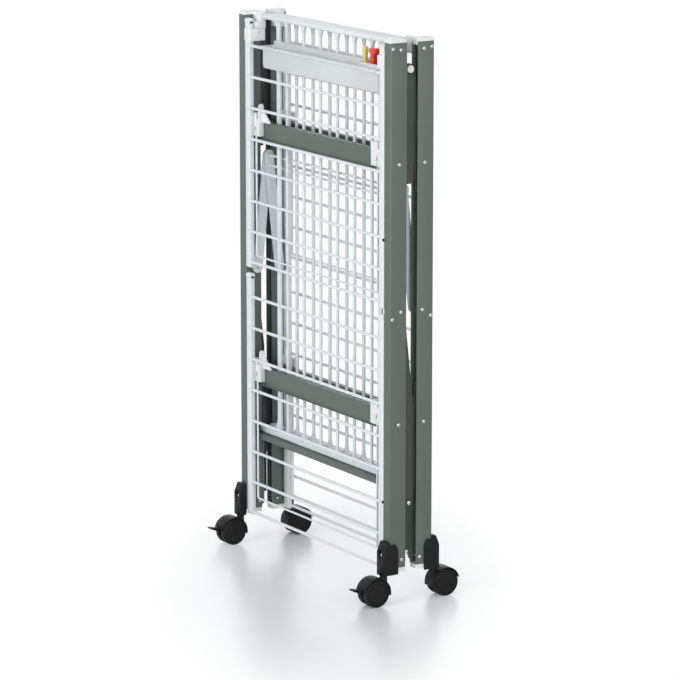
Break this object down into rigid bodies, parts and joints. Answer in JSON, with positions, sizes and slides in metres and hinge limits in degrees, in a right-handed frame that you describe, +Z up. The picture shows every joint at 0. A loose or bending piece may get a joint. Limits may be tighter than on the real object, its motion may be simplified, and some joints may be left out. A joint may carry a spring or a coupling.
{
  "type": "folding trolley",
  "caption": "Tall folding trolley with two joined upright frames, fold-up wire racks on both faces, rod grilles between them and castors, shown folded flat.",
  "frame": {"origin": "on the floor, in the middle of the folded trolley's footprint", "axes": "+Z up, +X to the right of a person in front of it, the front looks along -Y"},
  "size_m": [0.5372, 0.2236, 1.018],
  "materials": {
    "dark_paint": "satin grey-green paint",
    "white_wire": "smooth white coating",
    "white_plastic": "matt",
    "frosted_plastic": "frosted, lets light through",
    "black_plastic": "fine grain",
    "yellow_plastic": "glossy",
    "red_plastic": "glossy"
  },
  "bodies": {
    "front_frame": {"front_left_upright": "dark_paint", "front_left_top_cap": "white_plastic", "front_left_upper_catch": "white_plastic", "front_left_lower_catch": "white_plastic", "front_left_castor_bracket": "black_plastic", "front_right_upright": "dark_paint", "front_right_top_cap": "white_plastic", "front_right_upper_catch": "white_plastic", "front_right_lower_catch": "white_plastic", "front_right_castor_bracket": "black_plastic", "front_upper_crossbar": "dark_paint", "front_lower_crossbar": "dark_paint", "front_grille": "white_wire", "front_upper_prop": "white_wire", "front_lower_prop": "white_wire"},
    "back_frame": {"back_left_upright": "dark_paint", "back_left_top_cap": "white_plastic", "back_left_upper_catch": "white_plastic", "back_left_lower_catch": "white_plastic", "back_left_castor_bracket": "black_plastic", "back_right_upright": "dark_paint", "back_right_top_cap": "white_plastic", "back_right_upper_catch": "white_plastic", "back_right_lower_catch": "white_plastic", "back_right_castor_bracket": "black_plastic", "back_upper_crossbar": "dark_paint", "back_lower_crossbar": "dark_paint", "back_grille": "white_wire", "back_upper_prop": "white_wire", "back_lower_prop": "white_wire"},
    "front_links_body": {"front_links": "white_wire"},
    "front_upper_links": {"front_left_upper_link": "dark_paint", "front_right_upper_link": "dark_paint"},
    "front_lower_links": {"front_left_lower_link": "dark_paint", "front_right_lower_link": "dark_paint"},
    "front_ledge": {"front_ledge_frame": "dark_paint"},
    "front_upper_wing_body": {"front_upper_wing": "white_wire", "peg_tray": "frosted_plastic", "yellow_peg": "yellow_plastic", "red_peg": "red_plastic"},
    "front_lower_wing_body": {"front_lower_wing": "white_wire"},
    "front_left_swivel": {"front_left_castor_hood": "black_plastic"},
    "front_left_wheels": {"front_left_castor_wheels": "black_plastic"},
    "front_left_pedal": {"front_left_brake_pedal": "black_plastic"},
    "front_right_swivel": {"front_right_castor_hood": "black_plastic"},
    "front_right_wheels": {"front_right_castor_wheels": "black_plastic"},
    "front_right_pedal": {"front_right_brake_pedal": "black_plastic"},
    "back_links_body": {"back_links": "white_wire"},
    "back_upper_links": {"back_left_upper_link": "dark_paint", "back_right_upper_link": "dark_paint"},
    "back_lower_links": {"back_left_lower_link": "dark_paint", "back_right_lower_link": "dark_paint"},
    "back_ledge": {"back_ledge_frame": "dark_paint"},
    "back_upper_wing_body": {"back_upper_wing": "white_wire"},
    "back_lower_wing_body": {"back_lower_wing": "white_wire"},
    "back_left_swivel": {"back_left_castor_hood": "black_plastic"},
    "back_left_wheels": {"back_left_castor_wheels": "black_plastic"},
    "back_right_swivel": {"back_right_castor_hood": "black_plastic"},
    "back_right_wheels": {"back_right_castor_wheels": "black_plastic"}
  },
  "joints": [
    {"name": "fold", "type": "hinge", "parent": "front_frame", "child": "front_links_body", "pos_m": [0, -0.0121, 0.53351], "axis": [-1, 0, 0], "range_deg": [0, 82]},
    {"name": "middle_joint", "type": "hinge", "parent": "front_links_body", "child": "back_links_body", "pos_m": [0, 0.0105, 0.7475], "axis": [-1, 0, 0], "range_deg": [-164, 0]},
    {"name": "back_frame_joint", "type": "hinge", "parent": "back_links_body", "child": "back_frame", "pos_m": [0, 0.0331, 0.53351], "axis": [-1, 0, 0], "range_deg": [0, 82]},
    {"name": "front_upper_links_joint", "type": "hinge", "parent": "front_frame", "child": "front_upper_links", "pos_m": [0, -0.0121, 0.74996], "axis": [-1, 0, 0], "range_deg": [0, 82]},
    {"name": "front_lower_links_joint", "type": "hinge", "parent": "front_frame", "child": "front_lower_links", "pos_m": [0, -0.0121, 0.39502], "axis": [1, 0, 0], "range_deg": [0, 82]},
    {"name": "front_ledge_joint", "type": "hinge", "parent": "front_frame", "child": "front_ledge", "pos_m": [0, -0.0089, 0.08], "axis": [-1, 0, 0], "range_deg": [0, 82]},
    {"name": "back_upper_links_joint", "type": "hinge", "parent": "back_frame", "child": "back_upper_links", "pos_m": [0, 0.0331, 0.74996], "axis": [1, 0, 0], "range_deg": [0, 82]},
    {"name": "back_lower_links_joint", "type": "hinge", "parent": "back_frame", "child": "back_lower_links", "pos_m": [0, 0.0331, 0.39502], "axis": [-1, 0, 0], "range_deg": [0, 82]},
    {"name": "back_ledge_joint", "type": "hinge", "parent": "back_frame", "child": "back_ledge", "pos_m": [0, 0.0299, 0.08], "axis": [1, 0, 0], "range_deg": [0, 82]},
    {"name": "front_upper_wing_hinge", "type": "hinge", "parent": "front_frame", "child": "front_upper_wing_body", "pos_m": [0, -0.03, 1.002], "axis": [-1, 0, 0], "range_deg": [0, 90]},
    {"name": "front_lower_wing_hinge", "type": "hinge", "parent": "front_frame", "child": "front_lower_wing_body", "pos_m": [0, -0.03, 0.5215], "axis": [-1, 0, 0], "range_deg": [0, 90]},
    {"name": "back_upper_wing_hinge", "type": "hinge", "parent": "back_frame", "child": "back_upper_wing_body", "pos_m": [0, 0.051, 1.002], "axis": [1, 0, 0], "range_deg": [0, 90]},
    {"name": "back_lower_wing_hinge", "type": "hinge", "parent": "back_frame", "child": "back_lower_wing_body", "pos_m": [0, 0.051, 0.5215], "axis": [1, 0, 0], "range_deg": [0, 90]},
    {"name": "front_left_swivel_joint", "type": "hinge", "parent": "front_frame", "child": "front_left_swivel", "pos_m": [-0.25262, -0.04235, 0], "axis": [0, 0, 1], "continuous": true},
    {"name": "front_left_axle", "type": "hinge", "parent": "front_left_swivel", "child": "front_left_wheels", "pos_m": [-0.25262, -0.06335, 0.025], "axis": [1, 0, 0], "continuous": true},
    {"name": "front_left_pedal_joint", "type": "hinge", "parent": "front_left_swivel", "child": "front_left_pedal", "pos_m": [-0.25262, -0.09478, 0.03198], "axis": [1, 0, 0], "range_deg": [0, 12]},
    {"name": "front_right_swivel_joint", "type": "hinge", "parent": "front_frame", "child": "front_right_swivel", "pos_m": [0.25262, -0.04235, 0], "axis": [0, 0, 1], "continuous": true},
    {"name": "front_right_axle", "type": "hinge", "parent": "front_right_swivel", "child": "front_right_wheels", "pos_m": [0.25262, -0.06335, 0.025], "axis": [1, 0, 0], "continuous": true},
    {"name": "front_right_pedal_joint", "type": "hinge", "parent": "front_right_swivel", "child": "front_right_pedal", "pos_m": [0.25262, -0.09478, 0.03198], "axis": [1, 0, 0], "range_deg": [0, 12]},
    {"name": "back_left_swivel_joint", "type": "hinge", "parent": "back_frame", "child": "back_left_swivel", "pos_m": [-0.25262, 0.06335, 0], "axis": [0, 0, 1], "continuous": true},
    {"name": "back_left_axle", "type": "hinge", "parent": "back_left_swivel", "child": "back_left_wheels", "pos_m": [-0.25262, 0.08435, 0.025], "axis": [1, 0, 0], "continuous": true},
    {"name": "back_right_swivel_joint", "type": "hinge", "parent": "back_frame", "child": "back_right_swivel", "pos_m": [0.25262, 0.06335, 0], "axis": [0, 0, 1], "continuous": true},
    {"name": "back_right_axle", "type": "hinge", "parent": "back_right_swivel", "child": "back_right_wheels", "pos_m": [0.25262, 0.08435, 0.025], "axis": [1, 0, 0], "continuous": true}
  ],
  "couplings": [
    {"joint": "middle_joint", "follows": "fold", "ratio": -2},
    {"joint": "back_frame_joint", "follows": "fold", "ratio": 1},
    {"joint": "front_upper_links_joint", "follows": "fold", "ratio": 1},
    {"joint": "front_lower_links_joint", "follows": "fold", "ratio": 1},
    {"joint": "front_ledge_joint", "follows": "fold", "ratio": 1},
    {"joint": "back_upper_links_joint", "follows": "fold", "ratio": 1},
    {"joint": "back_lower_links_joint", "follows": "fold", "ratio": 1},
    {"joint": "back_ledge_joint", "follows": "fold", "ratio": 1}
  ]
}
